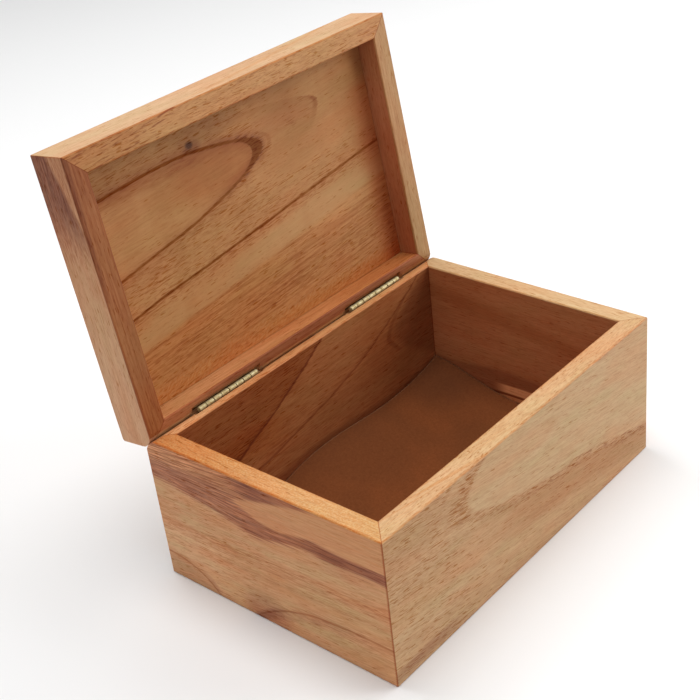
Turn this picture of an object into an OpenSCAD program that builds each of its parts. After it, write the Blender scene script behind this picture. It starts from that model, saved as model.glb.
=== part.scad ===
// Keepsake box in mitred hardwood boards, with a panelled lid standing open on two small brass
// hinges and a loose soft sheet lining its floor.
// Origin: centre of the underside. +X runs along the length, +Y to the hinges, +Z up.

/* [Box] */
// Outside length, along X
box_length = 200; // [150:1:300]
// Outside depth from front to hinges, along Y
box_depth = 134; // [100:1:200]
// Height of the lower part up to its rim
base_height = 75; // [50:1:120]
// Thickness of the boards of the lower part and of the lid's frame
board = 10; // [9:0.5:14]
// Chamfer that takes the sharpness off every outer edge
arris = 0.4; // [0.2:0.1:0.8]

/* [Bottom panel] */
// Thickness of the bottom panel
bottom_thick = 5; // [3:0.5:8]
// How far the bottom panel laps into the walls
bottom_lap = 5; // [3:0.5:6]
// Gap round the bottom panel in its rabbet
bottom_gap = 0.2; // [0.1:0.1:0.5]

/* [Lid] */
// Height of the lid from its rim to its top
lid_height = 21; // [19:0.5:32]
// Depth of the hollow in the lid, from its rim to the panel
lid_recess = 11.5; // [10.5:0.5:12]
// How far the lid stands open from shut, in degrees
lid_open = 98; // [60:1:98]
// Gap between the two rims when the lid is shut
rim_gap = 0.2; // [0.2:0.1:0.6]
// Radius of the round top edge at the back of the lid
lid_back_round = 2.5; // [1:0.5:4]

/* [Lid panel] */
// Thickness of the tongue round the panel
tongue_thick = 4; // [3:0.5:5]
// How far the tongue reaches into the frame
tongue_reach = 4; // [3:0.5:5]
// Room left at the bottom of the groove for the panel to swell
swell_room = 0.8; // [0.4:0.1:1.2]
// Gap between the panel's field and the frame
panel_gap = 0.2; // [0.1:0.1:0.6]

/* [Hinge seats] */
// Distance of the hinge pins from the back face
pin_inset = 4.6; // [4.4:0.1:4.8]
// Gap left between the two round back edges when the lid leans fully open
stop_gap = 0.1; // [0.05:0.05:0.3]
// Distance from each end of the box to the near end of its hinge
hinge_margin = 28.5; // [20:0.5:32]
// Radius of the saw that cuts the slots for the leaves
saw_radius = 36; // [34:0.5:40]
// Depth of the slots below the pin
slot_depth = 10; // [9:0.5:11]
// Gap between the barrel and its trough in the back wall's rim
base_trough_gap = 0.5; // [0.2:0.1:1]
// Gap between the barrel and its wider trough in the lid's rim
lid_trough_gap = 1.4; // [0.6:0.1:1.6]
// Room in the troughs past each end of a hinge
trough_room = 3; // [1:0.5:5]

/* [Hinges] */
// Length of each hinge
hinge_length = 38; // [30:1:46]
// Number of knuckles on each hinge
knuckles = 8; // [6:2:10]
// Gap between neighbouring knuckles
knuckle_gap = 0.35; // [0.25:0.05:0.5]
// How far the lid's knuckles sit to the left within the gaps
knuckle_shift = 0.1; // [0:0.02:0.14]
// Outside diameter of the barrel
barrel_d = 2.5; // [2.1:0.1:2.8]
// Diameter of the pin
pin_d = 1; // [0.8:0.1:1.2]
// Running clearance round the pin in the lid's knuckles
pin_play = 0.05; // [0.02:0.01:0.1]
// How far the pin stands out of each end of the barrel
pin_proud = 0.1; // [0:0.05:0.3]
// Thickness of the leaves
leaf_thick = 1; // [0.8:0.1:1.4]
// Room between a leaf's curved edge and the bottom of its slot
leaf_room = 0.5; // [0.3:0.1:1]

/* [Floor liner] */
// Thickness of the loose sheet on the floor
liner_thick = 1.6; // [1:0.1:2.5]
// Gap between the sheet and the walls
liner_gap = 0.4; // [0.2:0.1:1]
// Height that the sheet's back edge curls up
liner_curl = 10.2; // [0:0.2:14]
// Extra height of the curl in the back right corner
corner_curl = 3.8; // [0:0.2:8]
// How far from the back wall the curl dies away
curl_width = 36.6; // [15:0.2:45]

/* [Hidden] */

// Overshoot of every cutter past the face that it opens
eps = 1;
half_l = box_length / 2;
half_d = box_depth / 2;

// The pins lie midway between the two rims of the shut box.
pin_y = half_d - pin_inset;
pin_z = base_height + rim_gap / 2;
rim_z = base_height + rim_gap;

// With the lid fully open, the line across the gap between the two round back edges rises at
// this angle from the level, and their radius follows from it.
stop_lean = 90 - lid_open / 2;
stop_round = (stop_gap / 2 - rim_gap / 2 * sin(stop_lean) + pin_inset * cos(stop_lean))
    / (sin(stop_lean) + cos(stop_lean) - 1);

hinge_offset = half_l - hinge_margin - hinge_length / 2;
barrel_r = barrel_d / 2;
pin_r = pin_d / 2;
knuckle_pitch = hinge_length / knuckles;
knuckle_chamfer = 0.1;
// Distance from the pin at which the leaves widen to their full length, hidden in the slots
shoulder = barrel_r + lid_trough_gap + knuckle_gap;

// Levels of the lid's groove, measured from the lid's rim
panel_thick = lid_height - lid_recess;
groove_low = lid_recess + (panel_thick - tongue_thick) / 2;
groove_high = groove_low + tongue_thick;

// The liner is a grid of this many cells, along X and Y.
liner_cells_x = 30;
liner_cells_y = 18;
liner_l = box_length - 2 * (board + liner_gap);
liner_d = box_depth - 2 * (board + liner_gap);
// Ripple along the curled edge: its height, its length and where a crest lies
ripple = 1.5;
ripple_length = 100;
ripple_crest = -2;
// Where along the back edge the curl starts, and how softly
curl_start = -41;
curl_fade = 9;
// How far the corner's extra curl reaches from the right wall
corner_width = 10;
// Shape of the curl's fall from the back wall, and where it lands flat on the panel
curl_power = 1.77;
curl_floor = 0.4;

walnut = "#9a6a45";
tan_wood = "#c48a58";
panel_wood = "#b97f4a";
brass = "#d9cba0";
suede = "#6b3f26";

// Cross-section of a wall: outer face at x = 0, inner face at x = board, rim at the top
module wall_section() {
    polygon([
        [arris, 0],
        [board - bottom_lap, 0],
        [board - bottom_lap, bottom_thick],
        [board, bottom_thick],
        [board, base_height - arris],
        [board - arris, base_height],
        [arris, base_height],
        [0, base_height - arris],
        [0, arris]
    ]);
}

// Cross-section of a lid rail: rim at the bottom, groove for the panel in its inner face
module rail_section() {
    groove_wall = board - tongue_reach - swell_room;
    polygon([
        [arris, 0],
        [board - arris, 0],
        [board, arris],
        [board, groove_low],
        [groove_wall, groove_low],
        [groove_wall, groove_high],
        [board, groove_high],
        [board, lid_height],
        [arris, lid_height],
        [0, lid_height - arris],
        [0, arris]
    ]);
}

// A board with its ends mitred, outer face on y = 0 and the room on its +Y side.
// Its child is the cross-section.
module mitred_board(length, height) {
    end = length / 2;
    intersection() {
        rotate([90, 0, 90])
            linear_extrude(length, center = true)
                children();
        linear_extrude(height)
            polygon([
                [arris - end, 0],
                [end - arris, 0],
                [end - arris / 2, arris / 2],
                [end - board, board],
                [board - end, board],
                [arris / 2 - end, arris / 2]
            ]);
    }
}

// Places a board's outer face on one side of the box: 0 front, 1 right, 2 back, 3 left.
module on_side(side) {
    reach = side % 2 == 0 ? half_d : half_l;
    rotate([0, 0, 90 * side])
        translate([0, -reach, 0])
            children();
}

// What is cut away to round an edge that runs along X: the solid lies below and in front of
// the edge at y, z, and an upward of -1 turns the cutter over for an edge below the solid.
module edge_round_cut(y, z, radius, upward) {
    translate([0, y - radius, z - upward * radius])
        mirror([0, 0, upward > 0 ? 0 : 1])
            difference() {
                translate([-half_l - eps, 0, 0])
                    cube([box_length + 2 * eps, radius + eps, radius + eps]);
                rotate([0, 90, 0])
                    cylinder(r = radius, h = box_length + 4 * eps, center = true, $fn = 96);
            }
}

// Moves its children, drawn with the lid shut, to where the open lid holds them.
module opened() {
    translate([0, pin_y, pin_z])
        rotate([-lid_open, 0, 0])
            translate([0, -pin_y, -pin_z])
                children();
}

module at_hinge(side) {
    translate([side * hinge_offset, pin_y, pin_z])
        children();
}

// Cutter for one rim: a curved saw slot for each leaf and a trough for each barrel.
// direction is -1 for the lower part, which lies below the pins, and 1 for the lid.
module hinge_seats(direction) {
    trough = barrel_r + (direction < 0 ? base_trough_gap : lid_trough_gap);
    for (side = [-1, 1])
        at_hinge(side) {
            translate([0, 0, -direction * (saw_radius - slot_depth)])
                rotate([90, 0, 0])
                    cylinder(r = saw_radius, h = leaf_thick, center = true, $fn = 180);
            rotate([0, 90, 0])
                cylinder(r = trough, h = hinge_length + 2 * trough_room, center = true, $fn = 48);
        }
}

module base_wall(side) {
    length = side % 2 == 0 ? box_length : box_depth;
    difference() {
        on_side(side)
            mitred_board(length, base_height)
                wall_section();
        if (side != 0)
            edge_round_cut(half_d, base_height, stop_round, 1);
        if (side == 2)
            hinge_seats(-1);
    }
}

module lid_rail(side) {
    length = side % 2 == 0 ? box_length : box_depth;
    opened()
        difference() {
            translate([0, 0, rim_z])
                on_side(side)
                    mitred_board(length, lid_height)
                        rail_section();
            if (side != 0) {
                edge_round_cut(half_d, rim_z, stop_round, -1);
                edge_round_cut(half_d, rim_z + lid_height, lid_back_round, 1);
            }
            if (side == 2)
                hinge_seats(1);
        }
}

module front_wall() {
    color(tan_wood) base_wall(0);
}

module right_wall() {
    color(walnut) base_wall(1);
}

module back_wall() {
    color(tan_wood) base_wall(2);
}

module left_wall() {
    color(walnut) base_wall(3);
}

module lid_front_rail() {
    color(tan_wood) lid_rail(0);
}

module lid_right_rail() {
    color(walnut) lid_rail(1);
}

module lid_back_rail() {
    color(tan_wood) lid_rail(2);
}

module lid_left_rail() {
    color(walnut) lid_rail(3);
}

// The bottom panel fills the rabbet under the walls and is flush with their lower edges.
module bottom_panel() {
    inset = 2 * (board - bottom_lap + bottom_gap);
    color(tan_wood)
        translate([0, 0, bottom_thick / 2])
            cube([box_length - inset, box_depth - inset, bottom_thick], center = true);
}

// The lid's panel has a tongue on all four sides, and its field is flush with the lid's top.
module lid_panel() {
    inset = 2 * (board + panel_gap);
    tongue_inset = 2 * (board - tongue_reach);
    color(panel_wood)
        opened()
            translate([0, 0, rim_z]) {
                translate([0, 0, lid_recess + panel_thick / 2])
                    cube([box_length - inset, box_depth - inset, panel_thick], center = true);
                translate([0, 0, groove_low + tongue_thick / 2])
                    cube([box_length - tongue_inset, box_depth - tongue_inset, tongue_thick],
                         center = true);
            }
}

// A ring of the barrel, centred on the origin and lying along X
module knuckle(bore_r) {
    half = (knuckle_pitch - knuckle_gap) / 2;
    rotate([0, 90, 0])
        rotate_extrude($fn = 48)
            polygon([
                [bore_r, -half],
                [barrel_r - knuckle_chamfer, -half],
                [barrel_r, knuckle_chamfer - half],
                [barrel_r, half - knuckle_chamfer],
                [barrel_r - knuckle_chamfer, half],
                [bore_r, half]
            ]);
}

// Outline of a leaf below the pin: a half moon that follows the saw slot, with a neck up to
// each of its own knuckles. Knuckles first, first + 2, ... counted from the left are its own.
module leaf_outline(first) {
    neck_w = knuckle_pitch - knuckle_gap;
    neck_top = (pin_r + pin_play + barrel_r) / 2;
    intersection() {
        translate([0, saw_radius - slot_depth])
            circle(r = saw_radius - leaf_room, $fn = 180);
        union() {
            translate([-hinge_length / 2, -slot_depth])
                square([hinge_length, slot_depth - shoulder]);
            for (i = [first : 2 : knuckles - 1])
                translate([knuckle_x(i) - neck_w / 2, -shoulder - knuckle_gap])
                    square([neck_w, shoulder + knuckle_gap - neck_top]);
        }
    }
}

function knuckle_x(i) = (i + 0.5 - knuckles / 2) * knuckle_pitch;

// A leaf that hangs down from the pin at the origin, with its own share of the barrel
module hinge_leaf(first, bore_r) {
    rotate([90, 0, 0])
        linear_extrude(leaf_thick, center = true)
            leaf_outline(first);
    for (i = [first : 2 : knuckles - 1])
        translate([knuckle_x(i), 0, 0])
            knuckle(bore_r);
}

// The pin is staked tight in the lower leaf's knuckles.
module base_leaf(side) {
    color(brass)
        at_hinge(side)
            hinge_leaf(0, pin_r);
}

// The lid's leaf is the same leaf turned up into the lid, and turns freely on the pin.
module lid_leaf(side) {
    color(brass)
        opened()
            at_hinge(side)
                translate([-knuckle_shift, 0, 0])
                    mirror([0, 0, 1])
                        hinge_leaf(1, pin_r + pin_play);
}

module hinge_pin(side) {
    color(brass)
        at_hinge(side)
            rotate([0, 90, 0])
                cylinder(r = pin_r, h = hinge_length + 2 * pin_proud, center = true, $fn = 32);
}

// How high the liner's underside stands above the bottom panel at x, y
function back_curl(x) =
    (liner_curl + ripple * cos(360 * (x - ripple_crest) / ripple_length))
    / (1 + exp(-(x - curl_start) / curl_fade));
function corner_lift(x) = corner_curl * exp(-(liner_l / 2 - x) / corner_width);
function curl_fall(y) = exp(-pow((liner_d / 2 - y) / curl_width, curl_power));
function liner_lift(x, y) =
    max(0, (back_curl(x) + corner_lift(x)) * curl_fall(y) - curl_floor);

function liner_x(i) = liner_l * (i / liner_cells_x - 0.5);
function liner_y(j) = liner_d * (j / liner_cells_y - 0.5);
function liner_sheet(thick) = [
    for (j = [0 : liner_cells_y], i = [0 : liner_cells_x])
        [liner_x(i), liner_y(j), bottom_thick + thick + liner_lift(liner_x(i), liner_y(j))]
];

// The sheet's two faces are grids of points, and a strip of cells closes each of its edges.
module floor_liner() {
    row = liner_cells_x + 1;
    top = row * (liner_cells_y + 1);
    last = liner_cells_y * row;
    under_faces = [
        for (j = [0 : liner_cells_y - 1], i = [0 : liner_cells_x - 1])
            let (a = j * row + i)
                each [[a, a + 1, a + row + 1], [a, a + row + 1, a + row]]
    ];
    upper_faces = [
        for (f = under_faces)
            [f[2] + top, f[1] + top, f[0] + top]
    ];
    front_and_back = [
        for (i = [0 : liner_cells_x - 1])
            each [
                [i, i + top, i + 1 + top], [i, i + 1 + top, i + 1],
                [last + i, last + i + 1, last + i + 1 + top],
                [last + i, last + i + 1 + top, last + i + top]
            ]
    ];
    left_and_right = [
        for (j = [0 : liner_cells_y - 1])
            let (a = j * row, b = a + liner_cells_x)
                each [
                    [a, a + row, a + row + top], [a, a + row + top, a + top],
                    [b, b + top, b + row + top], [b, b + row + top, b + row]
                ]
    ];
    color(suede)
        polyhedron(
            points = concat(liner_sheet(0), liner_sheet(liner_thick)),
            faces = concat(under_faces, upper_faces, front_and_back, left_and_right)
        );
}

module left_hinge_base_leaf() {
    base_leaf(-1);
}

module left_hinge_lid_leaf() {
    lid_leaf(-1);
}

module left_hinge_pin() {
    hinge_pin(-1);
}

module right_hinge_base_leaf() {
    base_leaf(1);
}

module right_hinge_lid_leaf() {
    lid_leaf(1);
}

module right_hinge_pin() {
    hinge_pin(1);
}

front_wall();
back_wall();
left_wall();
right_wall();
bottom_panel();
floor_liner();
left_hinge_base_leaf();
left_hinge_lid_leaf();
left_hinge_pin();
right_hinge_base_leaf();
right_hinge_lid_leaf();
right_hinge_pin();
lid_front_rail();
lid_back_rail();
lid_left_rail();
lid_right_rail();
lid_panel();
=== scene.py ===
import math

import bpy
import numpy as np
from mathutils import Matrix, Vector


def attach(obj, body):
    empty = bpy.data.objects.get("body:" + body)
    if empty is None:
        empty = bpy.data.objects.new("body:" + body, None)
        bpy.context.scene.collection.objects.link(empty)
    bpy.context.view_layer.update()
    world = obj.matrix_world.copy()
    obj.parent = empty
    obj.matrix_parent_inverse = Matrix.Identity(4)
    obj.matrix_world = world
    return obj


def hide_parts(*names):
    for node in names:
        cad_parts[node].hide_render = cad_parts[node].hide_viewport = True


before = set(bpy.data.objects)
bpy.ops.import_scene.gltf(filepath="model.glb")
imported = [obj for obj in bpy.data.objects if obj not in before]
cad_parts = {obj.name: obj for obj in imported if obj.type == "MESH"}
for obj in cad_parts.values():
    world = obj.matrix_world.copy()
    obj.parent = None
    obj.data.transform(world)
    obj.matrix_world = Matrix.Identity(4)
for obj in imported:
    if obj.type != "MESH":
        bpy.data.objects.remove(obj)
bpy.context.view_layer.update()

# Sizes that the part's source gives, in millimetres
MM, PER_METRE = 0.001, 1000.0
HALF_LENGTH, HALF_DEPTH, BOARD = 100.0, 67.0, 10.0
BASE_HEIGHT, RIM_GAP, LID_HEIGHT = 75.0, 0.2, 21.0
PIN_Y, PIN_Z, LID_OPEN = 62.4, 75.1, 98.0
LINER_THICK, LINER_GAP, BOTTOM = 1.6, 0.4, 5.0
CURL, CORNER_CURL, CURL_WIDTH, CURL_POWER, CURL_FLOOR = 10.2, 3.8, 36.6, 1.77, 0.4
RIPPLE, RIPPLE_LENGTH, RIPPLE_CREST = 1.5, 100.0, -2.0
CURL_START, CURL_FADE, CORNER_WIDTH = -41.0, 9.0, 10.0
LID_RIM = BASE_HEIGHT + RIM_GAP
LID_TOP = LID_RIM + LID_HEIGHT
LINER_HALF_LENGTH = HALF_LENGTH - BOARD - LINER_GAP
LINER_HALF_DEPTH = HALF_DEPTH - BOARD - LINER_GAP


# Materials

# Screen colours are turned into linear ones by the sRGB curve.
SCREEN_MAX = 255
TOE_END, TOE_SLOPE = 0.04045, 12.92
CURVE_OFFSET, CURVE_POWER = 0.055, 2.4


def rgb(red, green, blue):
    """A colour given as screen values from 0 to 255, as the linear colour that a shader takes."""
    linear = []
    for value in (red, green, blue):
        v = value / SCREEN_MAX
        if v <= TOE_END:
            linear.append(v / TOE_SLOPE)
        else:
            linear.append(((v + CURVE_OFFSET) / (1 + CURVE_OFFSET)) ** CURVE_POWER)
    return (*linear, 1.0)


class Socket:
    """An output of a shader node, with arithmetic that adds Math nodes."""

    def __init__(self, shader, out):
        self.shader, self.out = shader, out

    def math(self, operation, *others):
        return self.shader.math(operation, self, *others)

    def __add__(self, other): return self.math("ADD", other)
    def __radd__(self, other): return self.math("ADD", other)
    def __sub__(self, other): return self.math("SUBTRACT", other)
    def __rsub__(self, other): return self.shader.math("SUBTRACT", other, self)
    def __mul__(self, other): return self.math("MULTIPLY", other)
    def __rmul__(self, other): return self.math("MULTIPLY", other)
    def __truediv__(self, other): return self.math("DIVIDE", other)
    def __pow__(self, power): return self.math("POWER", power)
    def __abs__(self): return self.math("ABSOLUTE")

    def at_least(self, low): return self.math("MAXIMUM", low)
    def at_most(self, high): return self.math("MINIMUM", high)

    def step(self, low, high):
        """0 below low and 1 above high, smoothly between. It falls where low is the larger."""
        node = self.shader.node(
            "ShaderNodeMapRange", {0: self, 1: low, 2: high}, interpolation_type="SMOOTHSTEP"
        )
        return Socket(self.shader, node.outputs[0])

    def band(self, centre, half, soft):
        """1 within half of the centre, fading to 0 over soft."""
        return abs(self - centre).step(half + soft, half)

    def fall(self, reach):
        """exp(-x / reach), for x at least 0."""
        return (self.at_least(0.0) * (-1.0 / reach)).math("EXPONENT")


class Shader:
    """A material with one Principled shader."""

    def __init__(self, name, **fixed):
        self.material = bpy.data.materials.new(name)
        self.material.use_nodes = True
        self.tree = self.material.node_tree
        self.tree.nodes.clear()
        self.surface = self.node("ShaderNodeBsdfPrincipled", fixed)
        self.node("ShaderNodeOutputMaterial", {"Surface": Socket(self, self.surface.outputs[0])})

    def node(self, kind, inputs, **settings):
        node = self.tree.nodes.new(kind)
        for key, value in settings.items():
            setattr(node, key, value)
        for key, value in inputs.items():
            if isinstance(value, Socket):
                self.tree.links.new(value.out, node.inputs[key])
            else:
                node.inputs[key].default_value = value
        return node

    def math(self, operation, *terms):
        node = self.node("ShaderNodeMath", dict(enumerate(terms)), operation=operation)
        return Socket(self, node.outputs[0])

    def position(self, shut=False):
        """The point's place at rest, in millimetres. shut gives it with the lid turned shut."""
        place = Socket(self, self.node("ShaderNodeTexCoord", {}).outputs["Object"])
        if shut:
            turned = self.node(
                "ShaderNodeVectorRotate",
                {
                    "Vector": place,
                    "Center": (0.0, PIN_Y * MM, PIN_Z * MM),
                    "Angle": math.radians(LID_OPEN),
                },
                rotation_type="X_AXIS",
            )
            place = Socket(self, turned.outputs[0])
        split = self.node("ShaderNodeSeparateXYZ", {0: place})
        return [Socket(self, out) * PER_METRE for out in split.outputs]

    def noise(self, x, y, z, detail=1.0, roughness=0.5):
        vector = self.node("ShaderNodeCombineXYZ", {0: x, 1: y, 2: z})
        node = self.node(
            "ShaderNodeTexNoise",
            {
                "Vector": Socket(self, vector.outputs[0]),
                "Scale": 1.0,
                "Detail": detail,
                "Roughness": roughness,
            },
        )
        return Socket(self, node.outputs["Fac"])

    def even_noise(self, place, per_mm, detail, roughness=0.5):
        """Noise that changes equally often along all three axes."""
        x, y, z = (axis * per_mm for axis in place)
        return self.noise(x, y, z, detail, roughness)

    def mix(self, first, second, share, blend="MIX"):
        node = self.node(
            "ShaderNodeMix", {0: share, 6: first, 7: second}, data_type="RGBA", blend_type=blend
        )
        return Socket(self, node.outputs[2])

    def tint(self, colour, by, share):
        """The colour, multiplied by another where share is 1."""
        return self.mix(colour, (*by, 1.0), share, "MULTIPLY")

    def link(self, name, value):
        self.tree.links.new(value.out, self.surface.inputs[name])

    def bump(self, height, distance, strength):
        node = self.node(
            "ShaderNodeBump", {"Strength": strength, "Distance": distance, "Height": height}
        )
        self.link("Normal", Socket(self, node.outputs[0]))


# What each kind of mark multiplies the wood's colour by
DARK = (0.82, 0.69, 0.57)
LIGHT = (1.09, 1.12, 1.14)
SMOKE = (0.50, 0.36, 0.37)
HAZE = (0.70, 0.56, 0.56)
LINE = (0.44, 0.19, 0.10)
UMBER = (0.74, 0.54, 0.38)
RUST = (0.38, 0.16, 0.05)
ROSY = (1.02, 0.86, 0.78)
OLIVE = (0.94, 1.01, 0.96)
ORANGE = (0.97, 0.76, 0.54)
CREAM = (1.05, 1.12, 1.22)
FLARE = (1.45, 1.60, 1.70)
PORE = (0.68, 0.47, 0.31)
GLUE = (0.66, 0.38, 0.20)
KNOT = (0.25, 0.17, 0.15)
# a red tint for painted shade beside the lid's right rail
RAIL_SHADE_RED = (0.90, 0.66, 0.70)
SLATE = (0.72, 0.74, 0.80)

# Patterns of noise: how often they change per millimetre along the fibres and across them, a
# shift that sets each pattern apart, and how many finer octaves they have
RAGGED = (0.035, 1.2, 31.0, 2.0)
DASHES = (0.16, 1.5, 57.0, 1.0)
SMOKE_STREAKS = (0.03, 1.3, 71.0, 2.0)
MOTTLE = (0.055, 0.16, 19.0, 3.0)
LONG_FIBRES = (0.09, 1.6, 0.0, 3.0)
SHORT_FIBRES = (0.26, 1.3, 3.0, 3.0)
PORES = (0.20, 1.9, 0.0, 0.0)
SMALL_PORES = (0.42, 3.2, 9.0, 0.0)
SPECKS = (0.22, 1.15, 83.0, 1.0)
PANEL_SPECKS = (0.18, 1.2, 83.0, 1.0)
COARSE_DASHES = (0.10, 1.1, 47.0, 2.0)
LONG_DASHES = (0.030, 0.75, 47.0, 3.0)
LOW_STREAKS = (0.035, 0.9, 71.0, 2.0)
PATCHES = (0.03, 0.16, 91.0, 2.0)
WAVE_SHIFT = 5.0
# The same for patterns that follow the growth rings
RING_BANDS = (0.006, 0.17, 0.0, 2.0)
RING_LINES = (0.014, 1.0, 7.0, 2.0)
RING_DRIFT = (0.018, 0.07, 13.0, 1.0)
PORE_BANDS = (0.03, 0.45, 3.0, 1.0)

# Over how many millimetres some marks fade
RIM_EDGE = (0.9, 0.5)
HALF_THICKNESS_EDGE = 0.1
ARRIS_REACH = (1.2, 0.2)
MITRE_LINE = (0.42, 0.12)
LINE_SOFT = 0.7
# The same for a spot, as a share of its half sizes, squared
SPOT_EDGE = (1.3, 0.1)

# How much the noise bends a growth line, in millimetres
LINE_RAGGED = 0.8
# How far the rings lean through a board's thickness
RING_LEAN = 0.6

# How glossy and how deep the grain is
WOOD_IOR = 1.45
WOOD_ROUGHNESS, FIBRE_ROUGHNESS, PORE_ROUGHNESS = 0.44, 0.18, 0.12
WOOD_GLOSS, GLOSS_LOST = 0.28, 0.26
GRAIN_DEPTH, GRAIN_STRENGTH = 0.00012, 0.5


class Board:
    """One board's own coordinates, and the marks that a figure puts on it.

    u runs along the grain, v up the board's face and w through its thickness, in millimetres
    with the lid shut.
    """

    def __init__(self, shader, lie, lid, slant, seed):
        self.s, self.seed = shader, seed
        self.x, self.y, self.z = shader.position(shut=lid)
        self.u, self.v, self.w = {
            "long": (self.x, self.z, self.y),
            "end": (self.y, self.z, self.x),
            "flat": (self.x, self.y, self.z),
        }[lie]
        self.low, self.top = (LID_RIM, LID_TOP) if lid else (0.0, BASE_HEIGHT)
        self.half_room = HALF_DEPTH if lie == "long" else HALF_LENGTH
        self.grain = self.v + self.u * slant          # runs up across the fibres
        self.ring = self.grain + self.w * RING_LEAN   # runs across the growth rings
        self.marks = []                               # (tint, share)
        self.crowd = 0.35                             # how thickly the pores stand
        self.plain = 0.25                             # how quiet the long bands are
        self.calm = 0.0                               # how faint the fibres are
        self.dull = 0.0                               # where a dark line takes the gloss away
        self.ragged = self.noise(*RAGGED) - 0.5
        self.dashes = self.noise(*DASHES).step(0.42, 0.62)
        if lie == "flat":
            self.rim, self.face = 0.0, 1.0
        else:
            outer, inner = RIM_EDGE
            if lid:
                self.rim = self.z.step(LID_RIM + outer, LID_RIM + inner)
            else:
                self.rim = self.z.step(BASE_HEIGHT - outer, BASE_HEIGHT - inner)
            self.face = 1.0 - self.rim

    def noise(self, along, across, shift, detail=1.0):
        return self.s.noise(
            self.u * along + (self.seed + shift), self.grain * across, self.w * across, detail
        )

    def ring_noise(self, along, across, shift, detail):
        return self.s.noise(self.u * along + self.seed, self.ring * across, shift, detail)

    def wave(self, height, along=0.03, across=0.07):
        """A slow wave that bends the figure by up to half its height, in millimetres."""
        return (self.noise(along, across, WAVE_SHIFT) - 0.5) * height

    def outside(self, sign):
        """1 on the outer half of the thickness. sign says on which side of the box the board is."""
        middle = self.half_room - BOARD / 2
        return (self.w * sign).step(middle - HALF_THICKNESS_EDGE, middle + HALF_THICKNESS_EDGE)

    def mark(self, tint, share):
        self.marks.append((tint, share))

    def on_face(self, tint, share):
        """A mark on the board's two faces, and not on its rim."""
        self.mark(tint, share * self.face)

    def on_rim(self, tint, share):
        self.mark(tint, share * self.rim)

    def smoke(self, share):
        """A smoky stain, drawn out in fine streaks."""
        streaks = self.noise(*SMOKE_STREAKS)
        self.mark(SMOKE, share * (streaks.step(0.30, 0.64) * 0.6 + 0.4))
        self.mark(ROSY, share * streaks.step(0.62, 0.48))

    def line(self, off, half, share, reach, crowd):
        """A dark growth line where off is 0, with haze and crowded pores where off is above 0."""
        off = off + self.ragged * LINE_RAGGED
        haze = off.step(-0.5, 0.5) * off.step(reach, 0.5)
        self.mark(HAZE, haze * share * (self.dashes * 0.45 + 0.35))
        self.mark(LINE, off.band(0.0, half, LINE_SOFT) * share)
        self.crowd = self.crowd + haze * share * crowd


def wood(name, lie, lid, slant, tones, figure, seed):
    """The wood of one board. tones are the colours of its outer face, rim and inner face."""
    s = Shader(name, IOR=WOOD_IOR)
    b = Board(s, lie, lid, slant, seed)
    outside = figure(b)
    outer, rim, inner = tones
    colour = s.mix(rgb(*inner), rgb(*outer), outside)
    colour = s.mix(colour, rgb(*rim), b.rim)

    # soft bands and fine lines along the growth rings, and a slow drift from golden to rosy wood
    bands = b.ring_noise(*RING_BANDS)
    lines = b.ring_noise(*RING_LINES)
    drift = b.ring_noise(*RING_DRIFT)
    streak = (bands * 0.55 + lines * 0.45).step(0.32, 0.68)
    mottle = b.noise(*MOTTLE)
    fibre = b.noise(*LONG_FIBRES)
    short = b.noise(*SHORT_FIBRES)
    # flecks where the rim cuts the fibres at a slant
    fleck = s.noise(b.u * 0.22, b.w * 1.2, 23.0, 3.0)
    # pores, short dark dashes that gather in bands
    pore_level = 0.86 - 0.20 * b.ring_noise(*PORE_BANDS) - 0.13 * b.crowd
    pore, small = ((b.noise(*size) - pore_level).step(-0.02, 0.05) for size in (PORES, SMALL_PORES))
    lively, clear = 1.0 - b.plain, 1.0 - b.calm
    layers = [
        (DARK, streak * lively * 0.50),
        (LIGHT, (1.0 - streak) * lively * 0.58),
        (ROSY, drift.step(0.50, 0.70) * 0.45),
        (OLIVE, drift.step(0.50, 0.30) * 0.60),
        (ROSY, mottle.step(0.50, 0.66) * 0.25),
        (OLIVE, mottle.step(0.50, 0.34) * 0.40),
        (DARK, fibre.step(0.46, 0.68) * clear * 0.50),
        (LIGHT, fibre.step(0.50, 0.32) * clear * 0.55),
        (DARK, short.step(0.54, 0.68) * clear * 0.38),
        (LIGHT, short.step(0.44, 0.32) * clear * 0.45),
        *b.marks,
        (UMBER, fleck.step(0.54, 0.66) * b.rim * 0.28),
        (CREAM, fleck.step(0.46, 0.32) * b.rim * 0.35),
        (PORE, pore * 0.70),
        (PORE, small * 0.40),
    ]
    if lie != "flat":
        # the arrises, rubbed and oiled a little darker, and the glue line of the mitres
        depth = b.half_room - abs(b.w)
        thick = depth.at_most(BOARD - depth)
        arris = (thick + (b.top - b.z).at_most(b.z - b.low)).step(*ARRIS_REACH)
        mitre = abs((HALF_LENGTH - abs(b.x)) - (HALF_DEPTH - abs(b.y)))
        layers += [
            (ORANGE, arris * (0.35 + 0.65 * b.dashes)),
            (UMBER, arris * 0.30),
            (GLUE, mitre.step(*MITRE_LINE) * 0.85),
        ]
    for tint, share in layers:
        colour = s.tint(colour, tint, share)
    s.link("Base Color", colour)
    s.link("Roughness", WOOD_ROUGHNESS + FIBRE_ROUGHNESS * fibre + PORE_ROUGHNESS * pore)
    s.link("Specular IOR Level", WOOD_GLOSS - GLOSS_LOST * pore.at_least(b.dull))
    s.bump(fibre * 0.3 - pore * 0.8 - small * 0.4 + lines * 0.2, GRAIN_DEPTH, GRAIN_STRENGTH)
    return s.material


# Figures. The lengths are millimetres on the board, read off the photographed faces, and the
# factor that ends a mark is its share. Each figure returns 1 on the outer face and 0 on the
# inner one.

def hill(x, centre, half):
    """1 at the centre, falling smoothly to 0 at half from it."""
    return abs(x - centre).step(half, 0.0)


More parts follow.
